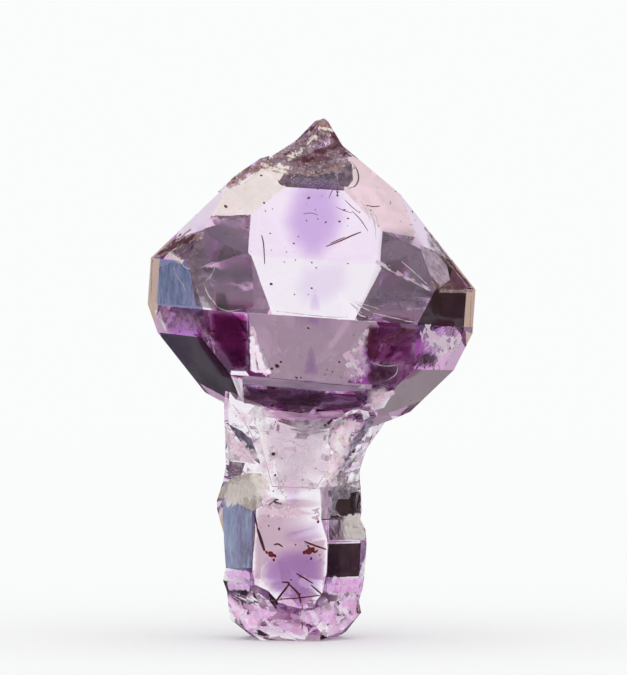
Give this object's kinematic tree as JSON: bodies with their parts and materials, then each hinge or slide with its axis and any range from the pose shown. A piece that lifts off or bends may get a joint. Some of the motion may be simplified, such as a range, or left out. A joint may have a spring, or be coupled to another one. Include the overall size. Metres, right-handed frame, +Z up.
{
  "type": "amethyst scepter",
  "caption": "Amethyst scepter: a wide, clear violet quartz head with pointed upper and lower faces, grown over a thinner hexagonal stem that is cut flat to stand.",
  "frame": {"origin": "centre of the crystal's box, on the flat cut that it rests on", "axes": "+Z up, +X to the right of the front face, +Y towards the back"},
  "size_m": [0.0226, 0.0182, 0.0358],
  "materials": {
    "amethyst": "clear pale violet quartz with flat growth faces, deeper violet zones and dark red flecks inside"
  },
  "bodies": {
    "root": {"scepter_crystal": "amethyst"}
  },
  "joints": []
}
